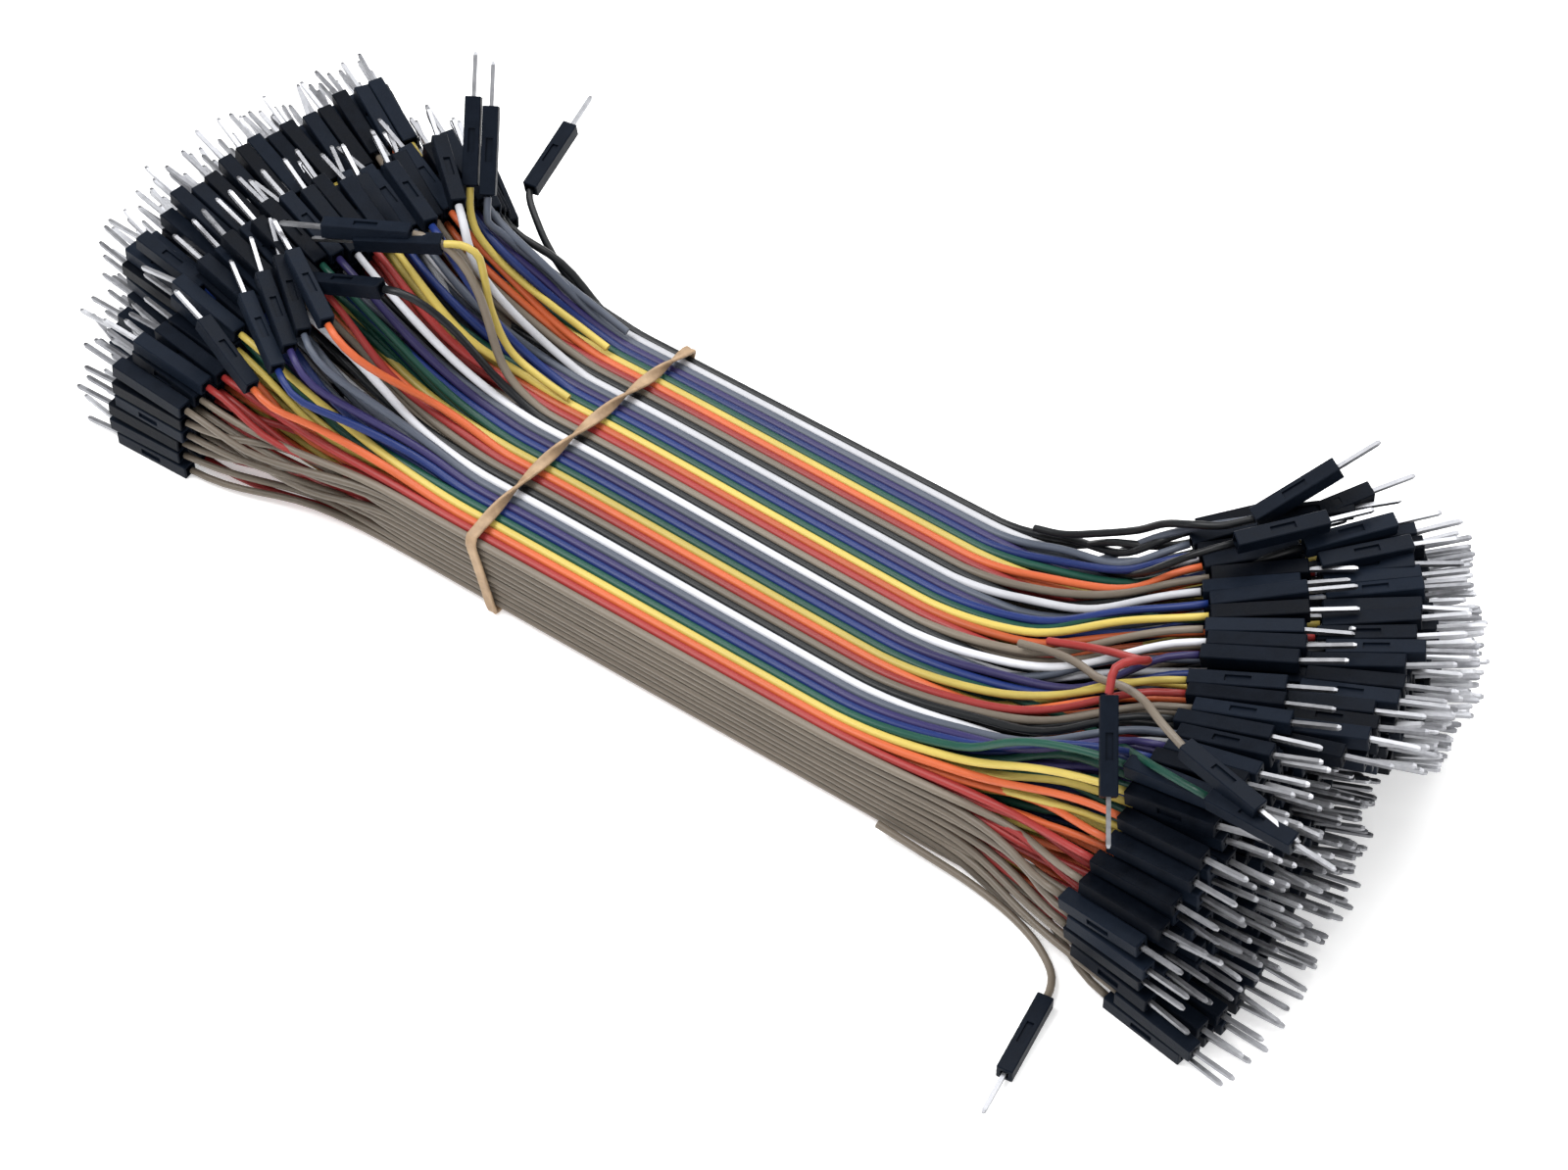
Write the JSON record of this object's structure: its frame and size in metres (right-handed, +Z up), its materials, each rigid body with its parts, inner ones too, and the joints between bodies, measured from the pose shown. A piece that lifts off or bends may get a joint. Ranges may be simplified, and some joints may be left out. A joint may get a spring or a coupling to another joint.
{
  "type": "breadboard jumper wire bundle",
  "caption": "Rubber banded bundle of flat ribbon jumper wires that fan out at both ends into heaps of black one way housings with square male pins.",
  "frame": {"origin": "middle of the underside of the lying bundle's bounding box", "axes": "+X along the wires towards the right heap of connectors, +Y across the flat cables, +Z up"},
  "size_m": [0.2312, 0.1163, 0.0498],
  "materials": {
    "wire_insulation": "satin PVC, ten repeating colours across each cable",
    "housing_plastic": "satin black moulded plastic",
    "pin_metal": "bright tinned square pin",
    "band_rubber": "matt natural rubber"
  },
  "bodies": {
    "root": {"ribbon_01": "wire_insulation", "ribbon_02": "wire_insulation", "ribbon_03": "wire_insulation", "ribbon_04": "wire_insulation", "ribbon_05": "wire_insulation", "ribbon_06": "wire_insulation", "ribbon_07": "wire_insulation", "ribbon_08": "wire_insulation", "ribbon_09": "wire_insulation", "ribbon_10": "wire_insulation", "left_connectors_01": "housing_plastic", "left_connectors_02": "housing_plastic", "left_connectors_03": "housing_plastic", "left_connectors_04": "housing_plastic", "left_connectors_05": "housing_plastic", "left_connectors_06": "housing_plastic", "left_connectors_07": "housing_plastic", "left_connectors_08": "housing_plastic", "left_connectors_09": "housing_plastic", "left_connectors_10": "housing_plastic", "left_connectors_11": "housing_plastic", "left_connectors_12": "housing_plastic", "right_connectors_01": "housing_plastic", "right_connectors_02": "housing_plastic", "right_connectors_03": "housing_plastic", "right_connectors_04": "housing_plastic", "right_connectors_05": "housing_plastic", "right_connectors_06": "housing_plastic", "right_connectors_07": "housing_plastic", "right_connectors_08": "housing_plastic", "right_connectors_09": "housing_plastic", "right_connectors_10": "housing_plastic", "right_connectors_11": "housing_plastic", "right_connectors_12": "housing_plastic", "rubber_band": "band_rubber", "right_loose_wire_1": "wire_insulation", "right_loose_wire_1_housing": "housing_plastic", "right_loose_wire_1_pin": "pin_metal", "right_loose_wire_2": "wire_insulation", "right_loose_wire_2_housing": "housing_plastic", "right_loose_wire_2_pin": "pin_metal", "right_loose_wire_3": "wire_insulation", "right_loose_wire_3_housing": "housing_plastic", "right_loose_wire_3_pin": "pin_metal", "right_loose_wire_4": "wire_insulation", "right_loose_wire_4_housing": "housing_plastic", "right_loose_wire_4_pin": "pin_metal", "left_loose_wire_1": "wire_insulation", "left_loose_wire_1_housing": "housing_plastic", "left_loose_wire_1_pin": "pin_metal", "left_loose_wire_2": "wire_insulation", "left_loose_wire_2_housing": "housing_plastic", "left_loose_wire_2_pin": "pin_metal", "left_loose_wire_3": "wire_insulation", "left_loose_wire_3_housing": "housing_plastic", "left_loose_wire_3_pin": "pin_metal", "left_loose_wire_4": "wire_insulation", "left_loose_wire_4_housing": "housing_plastic", "left_loose_wire_4_pin": "pin_metal"}
  },
  "joints": []
}
